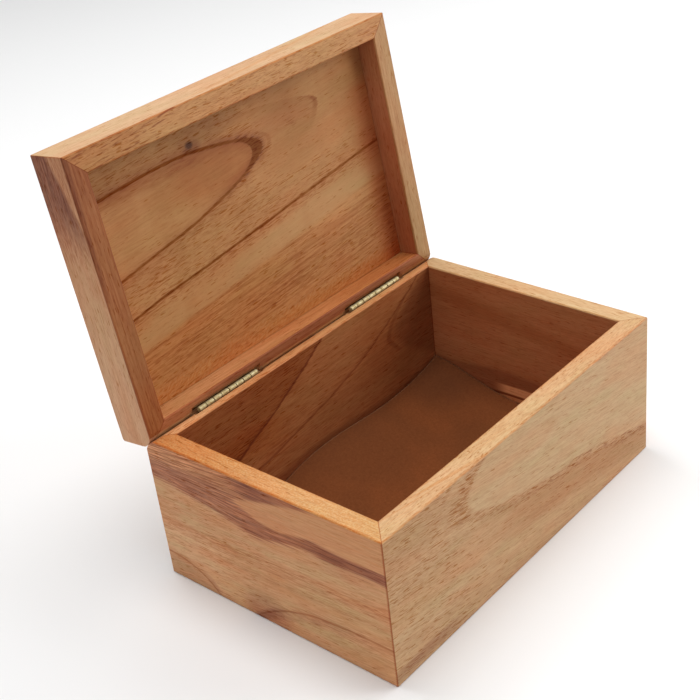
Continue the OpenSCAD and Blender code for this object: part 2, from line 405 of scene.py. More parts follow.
def spot(u, v, centre, size):
    """1 in the middle of an ellipse, falling softly to 0 past its edge."""
    (cu, cv), (half_u, half_v) = centre, size
    return (((u - cu) / half_u) ** 2.0 + ((v - cv) / half_v) ** 2.0).step(*SPOT_EDGE)


def left_wall_figure(b):
    wave = b.wave(2.0, 0.025, 0.06)
    u, v = b.u, b.v + wave + b.ragged * 3.0
    from_front = u + HALF_DEPTH
    # beyond the light eye the fibres draw together towards the back
    eye_level, eye_tip = 62.0, 15.0
    drawn = (b.v - eye_level) * (1.0 + 0.014 * (u - eye_tip).at_least(0.0)) + 0.02 * u
    streaks = b.s.noise(u * 0.045, drawn * 1.15, 71.0, 3.0)
    threads = b.s.noise(u * 0.055, drawn * 1.2, 33.0, 2.0)
    # the smoky band, with a light eye in it that is open to the front
    eye_low = 58.3 - 3.0 * hill(u, -8.0, 22.0) + 3.6 * u.step(2.0, 20.0)
    before_tip = 16.0 - u
    eye_high = 62.6 + 0.36 * before_tip - 0.0022 * before_tip * before_tip
    eye = (v - eye_low).step(-0.8, 1.0) * (eye_high - v).step(-1.0, 1.8) * u.step(20.5, 13.0)
    foot = 52.4 - 5.6 * hill(u, 6.0, 30.0) + 2.4 * u.step(28.0, 67.0)
    crown = v.step(69.5, 63.0).at_least(u.step(26.0, 0.0))
    smoky = (v + b.ragged * 4.0 - foot).step(-1.4, 1.6) * (1.0 - eye) * b.face
    b.mark(SMOKE, smoky * (0.30 + 0.70 * crown) * (0.54 + 0.46 * streaks.step(0.32, 0.62)))
    b.mark(ROSY, smoky * streaks.step(0.62, 0.48))
    b.mark(UMBER, smoky * (1.0 - crown) * streaks.step(0.44, 0.58) * 0.9)
    b.mark(PORE, smoky * threads.step(0.53, 0.64) * 0.90)
    b.mark(FLARE, smoky * threads.step(0.49, 0.38) * (0.30 + 0.50 * u.step(0.0, 20.0)))
    # rosy wood in the eye, with orange threads, and dusk under it
    b.on_face(ROSY, eye * 0.45)
    b.on_face(DARK, eye * 0.25)
    b.on_face(ORANGE, eye * threads.step(0.52, 0.64) * 0.50)
    b.on_face(DARK, hill(u, -34.0, 24.0) * v.band(55.3, 1.5, 2.4))
    b.on_face(HAZE, u.step(-18.0, -34.0) * v.band(55.7, 2.2, 1.8) * 0.50)
    # the band is lighter towards the back, and darkest above the eye's tip
    b.mark(CREAM, smoky * (u.step(5.0, 30.0) * 0.55 + u.step(35.0, 50.0) * 0.45))
    b.mark(SMOKE, smoky * hill(u, 5.0, 24.0) * v.step(64.0, 68.0) * 0.45)
    b.on_face(HAZE, hill(u, -45.0, 26.0) * v.band(49.0, 2.0, 3.0) * 0.30)
    # an orange line arching down to the lower edge, and its answer at the back
    v = b.v + wave + b.ragged
    arch_height, arch_length = 19.4, 80.0
    over_arch = v - (arch_height - arch_height * ((from_front / arch_length).at_least(0.0) ** 3.2))
    back_height, back_start, back_reach = 14.0, 35.0, 11.0
    over_back = v - (back_height - back_height * (u - back_start).fall(back_reach))
    b.on_face(UMBER, over_arch.band(-0.1, 0.1, 0.8) * u.step(15.0, 8.0))
    b.on_face(GLUE, u.step(-65.9, -66.6) * 0.75)
    b.on_face(UMBER, over_back.band(0.0, 0.15, 0.8) * u.step(34.0, 38.0))
    under_arch = over_arch.band(-2.0, 1.2, 3.5) * u.step(-70.0, -25.0)
    arch_end = over_arch.band(-1.0, 1.2, 3.0) * u.step(-8.0, 6.0) * u.step(18.0, 12.0)
    b.on_face(HAZE, under_arch * (0.25 + 0.35 * b.dashes))
    b.on_face(HAZE, spot(u, v, (5.0, 6.0), (15.0, 11.0)) * (0.60 + 0.25 * b.dashes))
    b.on_face(SMOKE, arch_end * 0.50)
    b.on_face(HAZE, over_back.band(1.5, 1.0, 3.0) * u.step(33.0, 36.0) * u.step(48.0, 38.0) * 0.5)
    b.on_face(SMOKE, over_back.step(0.5, -4.0) * u.step(34.0, 40.0) * (0.12 + 0.16 * b.dashes))
    b.on_face(CREAM, over_back.step(0.5, 4.0) * v.step(38.0, 28.0) * u.step(24.0, 42.0))
    b.on_face(LIGHT, over_back.step(0.5, 4.0) * v.step(36.0, 26.0) * u.step(8.0, 36.0))
    # orange streaks across the middle, and bundles of fine ones low at the front
    for height, half, share in ((38.0, 1.6, 0.9), (34.0, 0.8, 0.7), (29.5, 1.2, 0.6)):
        streak = (v - height + 0.05 * from_front).band(0.0, half * 0.4, half * 2.0)
        b.on_face(UMBER, streak * share * (0.15 + 0.75 * b.dashes))
    b.on_face(ORANGE, hill(u, 26.0, 24.0) * v.band(32.5, 1.0, 2.5) * 0.6)
    b.on_face(OLIVE, v.band(26.0, 2.0, 5.0) * u.step(20.0, 0.0) * 0.6)
    # patches and fine feathers on the plain wood below the band
    patches = b.noise(*PATCHES)
    plain = (foot - v).step(-1.0, 2.0) * b.face
    b.mark(OLIVE, plain * patches.step(0.50, 0.62) * 0.7)
    b.mark(CREAM, plain * patches.step(0.50, 0.64) * 0.3)
    b.mark(ORANGE, plain * patches.step(0.48, 0.36) * 0.30)
    feather = b.s.noise(u * 0.10, (v + 0.16 * u) * 1.15, 45.0, 3.0)
    b.mark(UMBER, plain * feather.step(0.52, 0.64) * 0.28)
    b.mark(CREAM, plain * feather.step(0.48, 0.36) * 0.35)
    b.on_face(PORE, b.dashes * v.band(15.0, 3.0, 8.0) * u.step(-10.0, -45.0) * 0.35)
    # the rim is cream, mottled with orange, and redder towards the back
    mottle = b.s.noise(b.u * 1.05, b.x * 1.2, 3.0, 2.0).step(0.42, 0.54)
    b.on_rim(ORANGE, mottle * (0.60 + 0.40 * b.u.step(-10.0, 40.0)))
    b.on_rim(ROSY, b.u.step(-20.0, 50.0))
    b.on_rim(ORANGE, (b.x + HALF_LENGTH).step(1.6, 0.4) * (0.4 + 0.6 * b.dashes))
    b.on_rim(CREAM, (1.0 - 0.6 * mottle) * b.u.step(50.0, -10.0))
    b.crowd = 0.15 + 0.30 * b.u.step(-10.0, 20.0) - 0.5 * eye
    b.plain = 0.45
    return b.outside(-1)


def front_wall_figure(b):
    u, v = b.u, b.v + b.wave(2.5) + b.ragged * 2.0
    specks = b.noise(*SPECKS).step(0.50, 0.60)
    # a pale field with a blunt left end, and a band of coarse dashes along its edge
    edge = 38.0 - 0.235 * u + 4.9 * (u + 43.0).fall(14.0)
    edge = edge + 3.0 * u.step(15.0, 45.0) - 2.2 * u.step(50.0, 95.0)
    over_nose = v - 60.0
    side = -46.0 + 0.070 * over_nose * over_nose
    pale = (u - side).step(-3.0, 2.0) * (v - edge).step(-1.0, 1.5)
    off = (edge - v).at_least((side - u) * 0.42)
    band = off.step(-1.2, 1.0) * off.step(7.0, 2.5)
    b.on_face(UMBER, band * (0.12 + 0.08 * b.dashes + 0.50 * specks))
    thin_band = off.step(-0.9, 0.6) * off.step(3.5, 0.8) * u.step(-5.0, 30.0)
    b.on_face(SMOKE, thin_band * (0.02 + 0.30 * specks))
    # the field is creamier, and the wood under and left of it browner, with rosy drifts
    b.on_face(CREAM, pale * 0.25)
    b.on_face(OLIVE, pale * 0.25)
    b.on_face(DARK, off.step(1.0, 4.0) * off.step(44.0, 14.0) * u.step(-50.0, 5.0) * 0.80)
    b.on_face(ROSY, (1.0 - pale) * u.step(-35.0, 0.0) * 0.25)
    b.on_face(ROSY, spot(u, v, (96.0, 55.0), (20.0, 12.0)) * 0.35)
    b.on_face(UMBER, specks * u.step(-45.0, -60.0) * v.step(30.0, 42.0) * 0.28)
    b.on_face(ROSY, v.band(34.0, 4.0, 6.0) * u.step(-10.0, -60.0) * 0.45)
    b.on_face(UMBER, u.step(-50.0, -66.0) * v.step(52.0, 62.0) * 0.32)
    # light streaks low on the left, over a purplish foot
    streaks = b.noise(*LOW_STREAKS).step(0.50, 0.66)
    b.on_face(CREAM, streaks * v.band(18.0, 3.0, 7.0) * u.step(-45.0, -70.0))
    b.on_face(HAZE, v.band(5.0, 1.0, 3.0) * u.step(-45.0, -72.0) * (0.55 + 0.45 * b.dashes))
    # orange streaks that cross the rim slantwise
    slant = b.y + 0.18 * b.u
    streaks = b.s.noise(b.u * 0.012, slant * 1.1, 5.0, 2.0).step(0.50, 0.66)
    b.on_rim(ORANGE, streaks * (0.45 + 0.4 * u.step(-20.0, -70.0)))
    darker = (1.0 - pale) * (0.15 + 0.55 * u.step(-25.0, -60.0)) * b.face
    b.crowd = 0.05 + 0.8 * band + darker + 0.2 * b.rim
    b.plain = 0.35 + 0.35 * pale * b.face
    return b.outside(-1)


def back_wall_figure(b):
    u, v = b.u, b.v + b.wave(3.0) + b.ragged * 1.2
    # two growth lines that climb to the right
    rise = (u + 57.0).at_least(0.0)
    upper = 41.0 + 0.42 * rise + 0.0018 * rise * rise
    bend = (u + 5.0).at_least(0.0)
    lower = 29.5 + 0.21 * (u + 43.0) + 0.0025 * bend * bend
    # darker wood above the upper line and towards both ends, creamier at the top left and far right
    b.on_face(DARK, (v - upper).step(-0.5, 1.0) * 0.9)
    left_end, right_end = u.step(-20.0, -45.0), u.step(22.0, 45.0)
    b.on_face(DARK, (left_end * v.step(38.0, 44.0) + right_end * v.step(24.0, 36.0)) * 0.55)
    b.on_face(DARK, hill(u, -20.0, 16.0) * v.step(52.0, 58.0) * 0.7)
    b.on_face(CREAM, u.step(-34.0, -62.0) * v.step(50.0, 58.0) + u.step(56.0, 74.0))
    b.on_face(ORANGE, u.step(-20.0, -35.0) * v.band(44.0, 5.0, 5.0) * 0.5)
    b.on_rim(DARK, u.step(-50.0, -10.0) * 0.36)
    b.on_rim(CREAM, u.step(-50.0, -75.0))
    b.on_rim(LIGHT, u.step(-50.0, -75.0))
    b.on_face(SMOKE, (lower - v).step(0.0, 5.0) * 0.18)
    # a dark, blunt figure at the right, below the lower line, partly the wood's own figure and
    # partly painted shade of the back right corner
    over_nose = v - 50.0
    nose = 54.0 + 0.10 * over_nose * over_nose / (1.0 + 0.05 * abs(over_nose))
    past_nose, under = u - nose, lower - v
    b.on_face(SMOKE, past_nose.step(0.0, 10.0) * under.step(-1.0, 2.0) * 0.45)
    rim_of_nose = past_nose.band(0.0, 0.6, 2.0) * v.step(36.0, 42.0)
    b.on_face(LINE, rim_of_nose * under.step(-1.0, 1.0) * 0.4)
    # coarse dashes inside the box
    coarse = b.noise(*COARSE_DASHES)
    outside = b.outside(1)
    inside = (1.0 - outside) * b.face
    b.mark(UMBER, coarse.step(0.53, 0.62) * inside * (0.25 + 0.25 * u.step(20.0, -20.0)))
    b.mark(LIGHT, coarse.step(0.48, 0.36) * inside * 0.7)
    # painted shade on the wall just above the curled liner
    crest = 15.0 + 3.0 * hill(b.u, -2.0, 50.0) + 3.4 * b.u.step(55.0, 88.0)
    b.mark(SMOKE, (b.v - crest).step(4.5, 0.0) * inside * 0.60)
    b.line(v - upper, half=0.4, share=0.75 * b.face, reach=4.0, crowd=0.6)
    b.line(v - lower, half=0.25, share=0.55 * b.face, reach=3.0, crowd=0.5)
    b.crowd = b.crowd + 0.5 * (v - upper).step(0.0, 2.0)
    return outside


def right_wall_figure(b):
    u, v = b.u, b.v + b.wave(2.0) + b.ragged
    # low inside: a smoky band, a pale streak under it and a red line
    top = 25.5 - 3.0 * u.step(15.0, 48.0)
    foot = 17.2 - 0.6 * hill(u, 22.0, 26.0)
    under = foot - v
    outside = b.outside(1)
    inside = b.face * (1.0 - outside)
    short = u.step(20.0, 9.0) * inside
    b.on_face(SMOKE, under.step(0.4, -0.6) * (top - v).step(-1.0, 3.0) * 0.58)
    b.mark(SMOKE, under.step(-0.5, 0.5) * (inside - short) * 0.6)
    b.mark(FLARE, under.step(0.0, 0.6) * v.step(11.5, 12.0) * short)
    b.mark(FLARE, under.step(0.0, 1.0) * v.step(11.5, 12.5) * short * 0.5)
    b.mark(CREAM, under.step(0.0, 1.0) * v.step(11.5, 12.5) * short)
    b.on_face(LINE, v.band(11.0, 0.25, 0.5) * 0.8)
    b.mark(FLARE, v.band(9.4, 0.8, 0.5) * short)
    # a dark band higher up, and a darker upper back corner
    b.on_face(DARK, (v - 0.15 * u).band(54.0, 1.5, 6.0) * 0.7)
    b.on_face(DARK, u.step(10.0, 40.0) * v.step(40.0, 50.0) * 0.40)
    return outside


def panel_figure(b):
    u, v = b.u, b.v + b.wave(1.0, 0.02, 0.0)
    uneven = b.dashes - 0.5
    specks = b.noise(*PANEL_SPECKS).step(0.50, 0.60)
    # the rings are nested loops round a point near the front left
    sag = 1.1 * hill(u, -42.0, 44.0) * v.step(-32.0, -38.0)
    sag = sag + 0.7 * hill(u, -60.0, 30.0) * v.step(-16.0, -10.0)
    ring_length, ring_width, ring_power = 10.5, 8.5, 2.64
    off_axis = abs(v + 30.0 + 0.1 * u + sag)
    spread = u + ring_length * ((off_axis / ring_width) ** ring_power)
    ring = ring_width * ((spread.at_least(0.0) / ring_length) ** 0.379)
    tip = u.step(-24.0, 4.0)
    # the inner loop: its arms open from the tip as a parabola and run parallel far from it
    loop_tip, arms_end, opening, closing = 13.8, 19.4, 0.19, 33.0
    arm = abs(v + 29.8 + 0.095 * u + sag)
    far = arm / arms_end
    ahead = u - loop_tip + (opening * arm * arm + closing * (far ** 10.0))
    # how far a point lies outside the loop, square to its line
    steep = (1.0 + (2 * opening * arm + 17.0 * (far ** 9.0)) ** 2.0) ** 0.5
    loop = ahead / steep
    jagged = loop + b.ragged * 1.6 + uneven * 1.2
    lower = (-28.0 - v).step(0.0, 6.0)
    rough = loop + uneven * 0.3
    inner = ((u - 6.8 + 0.14 * arm * arm) / steep).at_least(rough + 1.5 + 0.2 * lower)
    inner = inner.step(-0.6, 0.4)
    within = 1.0 - inner
    # the wood inside the loop, its brown line, smoky at the tip, and the haze outside it
    b.mark(UMBER, loop.step(-12.0, -1.0) * within * (0.26 + 0.22 * tip))
    b.mark(HAZE, loop.step(-5.0, -1.6) * loop.step(0.5, -0.5) * within * 0.25)
    heart = spot(u, v, (-12.0, -30.5), (46.0, 15.0)) * within * loop.step(1.0, -0.5)
    b.mark(ORANGE, heart * 0.30)
    b.mark(DARK, heart * 0.80)
    b.mark(DARK, within * loop.step(1.0, -0.5) * 0.10)
    rusty = (0.72 + 0.14 * b.dashes + 0.08 * lower) * (1.0 - 0.70 * tip)
    b.mark(RUST, inner * rough.step(0.4, -0.4) * rusty)
    b.mark(SMOKE, inner * jagged.step(0.9, -0.5) * tip * (0.86 + 0.14 * specks))
    b.mark(LINE, inner * jagged.step(0.5, -0.9) * tip * specks * 0.35)
    beyond = jagged.step(-0.6, 0.4)
    b.mark(UMBER, beyond * loop.step(5.0, 0.5) * (0.20 + 0.50 * specks) * (1.0 - 0.4 * lower))
    b.mark(HAZE, beyond * loop.step(3.5, 0.3) * (0.28 + 0.30 * lower))
    b.crowd = b.crowd - 0.45 * loop.step(0.5, -0.5) + 0.5 * loop.band(2.0, 1.5, 2.0)
    # weaker rings outside the loop, the outer one with a dark turn
    near_axis = hill(arm, 0.0, 10.0)
    near_ring = (ahead - 4.8 + b.ragged).band(0.0, 0.5, 1.5) * near_axis
    far_ring = (ahead - 21.0 + b.ragged * 4.0).band(0.0, 1.5, 4.0) * near_axis
    b.mark(UMBER, near_ring * (0.35 + 0.40 * b.dashes))
    b.mark(UMBER, far_ring * specks * 0.5)
    turn_level, turn_tip = 38.5, 54.5
    above, below = (v + turn_level).at_least(0.0), (-turn_level - v).at_least(0.0)
    outer = u - turn_tip + 0.060 * above * above + 0.45 * below * below + b.ragged * 3.0
    turn = above.step(13.0, 0.0) * below.step(6.5, 2.0)
    dusky = 0.30 + 0.30 * b.dashes + 0.40 * hill(v, -38.0, 7.0)
    b.mark(UMBER, outer.step(-4.5, -1.5) * outer.step(0.8, -0.6) * turn * dusky)
    b.mark(UMBER, outer.step(-12.0, -1.0) * outer.step(0.5, -0.5) * turn * specks * 0.5)
    dusk = outer.step(-34.0, -4.0) * outer.step(1.0, -2.0) * above.step(18.0, 4.0)
    b.mark(DARK, dusk * tip * 0.35)
    # a darker streak inside the loop, along its lower arm
    b.mark(UMBER, (v + 38.6).band(0.0, 1.2, 3.0) * u.step(-14.0, -32.0) * (0.34 + 0.36 * b.dashes))
    # the long line above the loop, with dashes crowding over it
    long_line = ring - 35.0 - 0.011 * u + b.ragged * 0.4 + uneven * 0.12
    fading = 0.78 + 0.17 * b.dashes - 0.22 * u.step(-10.0, 40.0)
    b.mark(RUST, long_line.band(0.0, 0.20, 0.80) * fading)
    b.dull = (inner * loop.step(0.8, -0.5)).at_least(long_line.band(0.0, 0.3, 0.8))
    b.mark(UMBER, long_line.step(-0.4, 0.6) * long_line.step(7.0, 0.5) * (0.16 + 0.64 * specks))
    b.mark(UMBER, long_line.band(1.7, 0.1, 0.6) * b.dashes * u.step(10.0, -40.0))
    b.mark(UMBER, long_line.step(0.4, -0.6) * long_line.step(-5.0, -0.5) * specks * 0.35)
    # paler wood above it, then browner wood with coarse dashes, and golden ripples up to the hinges
    pale = ring.band(45.5, 3.0, 5.0)
    browner = (ring + b.ragged * 2.0).step(50.0, 53.0)
    b.mark(CREAM, pale * 0.45)
    b.mark(OLIVE, pale * 0.3)
    b.mark(ORANGE, browner * (0.35 + 0.22 * u.step(20.0, -10.0)))
    fine = b.s.noise(ring * 0.8, u * 0.012, 5.0, 3.0).step(0.46, 0.62)
    coarse = b.noise(*LONG_DASHES).step(0.48, 0.62)
    b.mark(UMBER, fine * browner * v.step(56.0, 44.0) * (0.30 - 0.15 * u.step(-40.0, -60.0)))
    b.mark(UMBER, coarse * browner * v.step(52.0, 44.0) * (0.60 - 0.22 * u.step(10.0, 40.0)))
    b.mark(LIGHT, (1.0 - coarse) * browner * 0.50)
    b.mark(UMBER, browner * specks * hill(v, 39.0, 12.0) * 0.60)
    by_hinges = v.step(44.0, 52.0)
    b.mark(ORANGE, v.step(48.0, 54.0) * (0.35 + 0.45 * u.step(-20.0, 20.0)))
    b.mark(DARK, by_hinges * u.step(20.0, 70.0) * 0.35)
    ripple = b.s.noise(u * 0.45, (v + u * 0.5) * 0.9, 9.0, 3.0).step(0.42, 0.60)
    b.mark(ORANGE, ripple * by_hinges * 0.6)
    b.mark(CREAM, (1.0 - ripple) * by_hinges * 0.8)
    # a soft cross figure, and paler wood between the loop and the long line
    cross = b.s.noise(u * 0.07, v * 0.014, 15.0, 1.0)
    b.mark(DARK, cross.step(0.50, 0.68) * v.step(40.0, 20.0) * 0.30)
    paler = u.step(-20.0, 20.0) * v.band(13.0, 4.0, 8.0)
    b.mark(CREAM, paler * 0.8)
    b.mark(LIGHT, paler * 0.5)
    # darker olive wood along the front rail, partly the wood's own tone and partly painted shade
    # under the rail, and a small knot that touches the lower arm
    b.mark(OLIVE, v.step(-38.0, -46.0) * u.step(78.0, 40.0))
    b.mark(HAZE, v.step(-30.0, -44.0) * u.step(60.0, 10.0) * (0.28 - 0.20 * hill(u, 0.0, 34.0)))
    b.mark(DARK, v.step(-34.0, -43.0) * hill(u, 34.0, 34.0) * 0.45)
    b.mark(SMOKE, spot(u, v, (-27.0, -44.0), (6.5, 3.2)) * 0.5)
    b.mark(KNOT, spot(u, v, (-28.0, -45.2), (2.5, 1.9)) * (0.8 + 0.2 * b.dashes))
    # more painted shade under the front rail, on wood that is darker there too
    b.mark(HAZE, spot(u, v, (-15.0, -48.5), (22.0, 5.0)) * 0.45)
    # browner wood right of the loop's tip
    b.mark(DARK, spot(u, v, (31.0, -28.0), (28.0, 17.0)) * 0.60)
    # redder and darker towards the right rail: painted shade with a painted red reflection from the
    # rail, and a painted shadow in the corner
    b.mark(ORANGE, u.step(72.0, 90.0) * v.step(-54.0, -30.0) * 0.55)
    b.mark(RAIL_SHADE_RED, u.step(71.0, 87.0) * v.step(-50.0, -25.0))
    b.mark(SMOKE, spot(u, v, (93.0, -52.0), (13.0, 18.0)) * 0.6)
    # quiet wood right of the middle, and between the loop and the long line
    quiet = u.step(5.0, 25.0) * v.step(24.0, 14.0)
    between = loop.step(3.0, 7.0) * long_line.step(0.0, -3.0) * u.step(20.0, 0.0)
    b.crowd = b.crowd + 0.2 * browner - 0.35 * pale - 0.30 * quiet - 0.30 * between
    b.calm = 0.25 + 0.30 * pale + 0.25 * quiet + 0.25 * between
    b.plain = 0.55
    b.ring = v * 0.8 + 0.1 * u
    return b.w.step(91.0, 92.0)


def lid_front_figure(b):
    # an orange line that climbs to the right
    u, v = b.u, b.v
    along = u + 30.0
    centre = 79.0 + 0.0875 * along + 0.0006 * along * along
    b.on_face(ORANGE, (v + b.ragged - centre).band(0.0, 0.5, 1.8) * u.step(-50.0, 0.0) * 0.55)
    # dark streaks that cross the rim slantwise, and browner wood at its left end
    slant = b.y + 0.12 * u
    streaks = b.s.noise(u * 0.014, slant * 0.9, 5.0, 2.0).step(0.48, 0.64)
    b.on_rim(LINE, streaks * b.dashes * (0.25 + 0.50 * u.step(-10.0, -45.0)))
    b.on_rim(UMBER, u.step(-50.0, -72.0) * 0.40)
    b.ring = b.y + RING_LEAN * b.z + 0.09 * u
    b.crowd = 0.2 + 0.4 * b.rim
    return b.outside(-1)


def lid_left_figure(b):
    # a dusky stain over the front half, with specks about it
    u, v = b.u, b.v + b.ragged * 1.5
    foot = 85.5 - 0.30 * (u + HALF_DEPTH)
    dusk = (v - foot).step(-1.5, 2.0) * u.step(-16.0, -50.0) * b.face
    specks = b.noise(*SPECKS).step(0.46, 0.60)
    b.smoke(dusk * (1.0 - 0.30 * (v - foot).step(4.0, 12.0)))
    b.mark(HAZE, dusk * (0.35 + 0.35 * specks))
    b.mark(SLATE, dusk * 0.75)
    b.on_face(HAZE, u.step(-34.0, -60.0) * (foot - v).step(-1.0, 3.0) * 0.45)
    b.on_face(DARK, u.step(5.0, -15.0) * 0.25)
    b.on_face(CREAM, u.step(0.0, 20.0) * abs(v - 85.0).step(1.0, 5.0) * 0.8)
    b.on_face(DARK, u.step(0.0, -30.0) * specks * 0.8)
    # the rim is smoky along its outer edge
    b.on_rim(SMOKE, (b.x + 98.0).step(1.5, -1.5) * u.step(12.0, -22.0) * (0.45 + 0.40 * b.dashes))
    b.on_rim(DARK, b.s.noise(b.x * 0.9, u * 0.02, 5.0, 2.0).step(0.42, 0.62) * 0.8)
    b.on_rim(HAZE, u.step(-36.0, -52.0) * 0.50)
    b.on_rim(ORANGE, u.step(32.0, 48.0) * 0.50)
    b.crowd = 0.45
    return b.outside(-1)


def lid_right_figure(b):
    # paler over the front half and darker at both ends, olive at the front end and the rim's back
    b.on_rim(OLIVE, b.u.step(0.0, 50.0))
    b.on_face(CREAM, b.u.step(0.0, -30.0))
    b.on_face(DARK, b.u.step(0.0, 40.0) * 0.45 + b.u.step(-25.0, -50.0) * 0.35)
    b.on_face(OLIVE, b.u.step(-22.0, -42.0))
    b.on_face(CREAM, b.u.step(40.0, 10.0) * 0.35)
    return b.outside(1)


def lid_back_figure(b):
    # cream on the left and browner on the right, with fine threads all along
    b.ring = b.y + RING_LEAN * b.z + 0.03 * b.x
    b.on_face(CREAM, b.x.step(-10.0, -60.0))
    b.on_face(ORANGE, b.x.step(-20.0, 60.0) * 0.5)
    b.on_face(DARK, b.x.step(25.0, 75.0) * 0.55)
    b.on_rim(FLARE, b.x.step(-45.0, -75.0) + 0.3 * b.x.step(60.0, 85.0))
    threads = b.s.noise(b.x * 0.03, b.z * 1.3, b.y * 1.3, 3.0)
    b.mark(UMBER, threads.step(0.50, 0.62) * (0.25 + 0.30 * b.x.step(-40.0, 40.0)))
    b.on_face(CREAM, threads.step(0.46, 0.34))
    b.plain = 0.0
    return b.outside(1)


def bottom_figure(b):
    b.ring = b.y
    return b.z.step(2.0, 1.0)


# node: (how it lies, on the lid, slant of the grain, (outer, rim, inner) colours, figure, seed)
BOARDS = {
    "front_wall": (
        "long", False, 0.16, ((198, 159, 117), (205, 165, 123), (176, 120, 76)),
        front_wall_figure, 3.1,
    ),
    "left_wall": (
        "end", False, 0.05, ((207, 154, 109), (205, 159, 107), (176, 120, 76)),
        left_wall_figure, 17.4,
    ),
    "back_wall": (
        "long", False, 0.0, ((196, 150, 104), (210, 152, 102), (180, 117, 71)),
        back_wall_figure, 29.7,
    ),
    "right_wall": (
        "end", False, 0.0, ((198, 150, 106), (209, 176, 134), (181, 115, 74)),
        right_wall_figure, 41.2,
    ),
    "bottom_panel": (
        "flat", False, 0.0, ((186, 140, 98), (186, 140, 98), (176, 128, 88)),
        bottom_figure, 53.9,
    ),
    "lid_front_rail": (
        "long", True, 0.06, ((208, 170, 133), (192, 141, 91), (180, 120, 76)),
        lid_front_figure, 61.5,
    ),
    "lid_left_rail": (
        "end", True, 0.0, ((203, 152, 112), (165, 106, 65), (180, 120, 76)),
        lid_left_figure, 73.3,
    ),
    "lid_right_rail": (
        "end", True, 0.0, ((198, 150, 108), (183, 139, 95), (178, 109, 71)),
        lid_right_figure, 83.8,
    ),
    "lid_back_rail": (
        "long", True, 0.0, ((196, 148, 102), (156, 95, 60), (196, 134, 85)),
        lid_back_figure, 97.6,
    ),
    "lid_panel": (
        "flat", True, 0.07, ((198, 152, 104), (190, 136, 86), (190, 136, 84)),
        panel_figure, 109.2,
    ),
}

BRASS_BRIGHT, BRASS_DULL = (203, 192, 154), (178, 160, 114)
SCRATCHED = (0.66, 0.55, 0.42)
TARNISH_AND_SHADE = (0.30, 0.20, 0.13)
# Distance from the pin where the rubbed knuckles end and the leaves begin, tarnished and painted
# darker for the shade in their slots
KNUCKLE_EDGE = (1.28, 1.42)
BRASS_ROUGHNESS, CLOUD_ROUGHNESS = 0.56, 0.16
SCRATCH_DEPTH, SCRATCH_STRENGTH = 0.00003, 0.4


def brass():
    s = Shader("hinge_brass", Metallic=1.0)
    x, y, z = s.position()
    cloud = s.even_noise((x, y, z), 0.5, 3.0)
    # fine scratches along the pin
    scratch = s.noise(x * 0.25, y * 6.0, z * 6.0, 2.0)
    colour = s.mix(rgb(*BRASS_BRIGHT), rgb(*BRASS_DULL), cloud.step(0.35, 0.70))
    colour = s.tint(colour, SCRATCHED, scratch.step(0.58, 0.75) * 0.5)
    off_pin = ((y - PIN_Y) ** 2.0 + (z - PIN_Z) ** 2.0) ** 0.5
    # the leaves are tarnished, and darkened further as painted shade in their slots
    colour = s.tint(colour, TARNISH_AND_SHADE, off_pin.step(*KNUCKLE_EDGE))
    s.link("Base Color", colour)
    s.link("Roughness", BRASS_ROUGHNESS + CLOUD_ROUGHNESS * cloud)
    s.bump(scratch, SCRATCH_DEPTH, SCRATCH_STRENGTH)
    return s.material


SUEDE, SUEDE_BRUSHED = (129, 72, 37), (119, 67, 35)
PILE_SHADE, GRAIN_SHADE, GRAIN_GLOW = (0.74, 0.70, 0.66), (0.84, 0.82, 0.80), (1.14, 1.16, 1.18)
# a grey tint for the curl, a painted highlight for its edge, and painted shade for the back right
# corner
CURL_GREY, EDGE_HIGHLIGHT, CORNER_SHADE = (0.94, 0.97, 1.03), (1.35, 1.32, 1.30), (0.72, 0.74, 0.82)
SHEEN = {
    "Sheen Weight": 0.30,
    "Sheen Roughness": 0.45,
    "Sheen Tint": (0.80, 0.50, 0.30, 1.0),
    "Specular IOR Level": 0.10,
}
SUEDE_ROUGHNESS, PILE_ROUGHNESS = 0.86, 0.1
PILE_DEPTH, PILE_STRENGTH = 0.00015, 0.6


def suede():
    s = Shader("liner_suede", **SHEEN)
    x, y, z = s.position()
    nap = s.even_noise((x, y, z), 0.03, 2.0)
    pile = s.even_noise((x, y, z), 2.2, 3.0, 0.6)
    grain = s.even_noise((x, y, z), 0.9, 2.0)
    edge = (LINER_HALF_DEPTH - y).at_least(0.0)
    colour = s.mix(rgb(*SUEDE), rgb(*SUEDE_BRUSHED), nap.step(0.35, 0.65))
    for tint, share in (
        (PILE_SHADE, pile.step(0.42, 0.72) * 0.5),
        (GRAIN_SHADE, grain.step(0.52, 0.66) * 0.6),
        (GRAIN_GLOW, grain.step(0.48, 0.34) * 0.6),
        # greyer towards the curled edge, and a painted highlight along the top of the edge
        (CURL_GREY, edge.fall(9.0) * 0.8),
        (EDGE_HIGHLIGHT, edge.step(1.6, 0.4)),
        # painted shade in the back right corner
        (CORNER_SHADE, x.step(50.0, 80.0) * y.step(0.0, 40.0)),
    ):
        colour = s.tint(colour, tint, share)
    s.link("Base Color", colour)
    s.link("Roughness", SUEDE_ROUGHNESS + PILE_ROUGHNESS * pile)
    s.bump(pile, PILE_DEPTH, PILE_STRENGTH)
    return s.material


# Pieces

def dress(piece, material):
    piece.data.materials.clear()
    piece.data.materials.append(material)


for node, (lie, lid, slant, tones, figure, seed) in BOARDS.items():
    dress(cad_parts[node], wood(node + "_wood", lie, lid, slant, tones, figure, seed))

hinge_brass = brass()
for node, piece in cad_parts.items():
    if "hinge" in node:
        dress(piece, hinge_brass)

# The floor liner is a loose sheet of suede, curled up along the back wall and in the right
# corner. Its cut edge is a little crushed.
CELLS_X, CELLS_Y = 150, 96
CRUSH, CRUSH_REACH = 0.35, 0.8


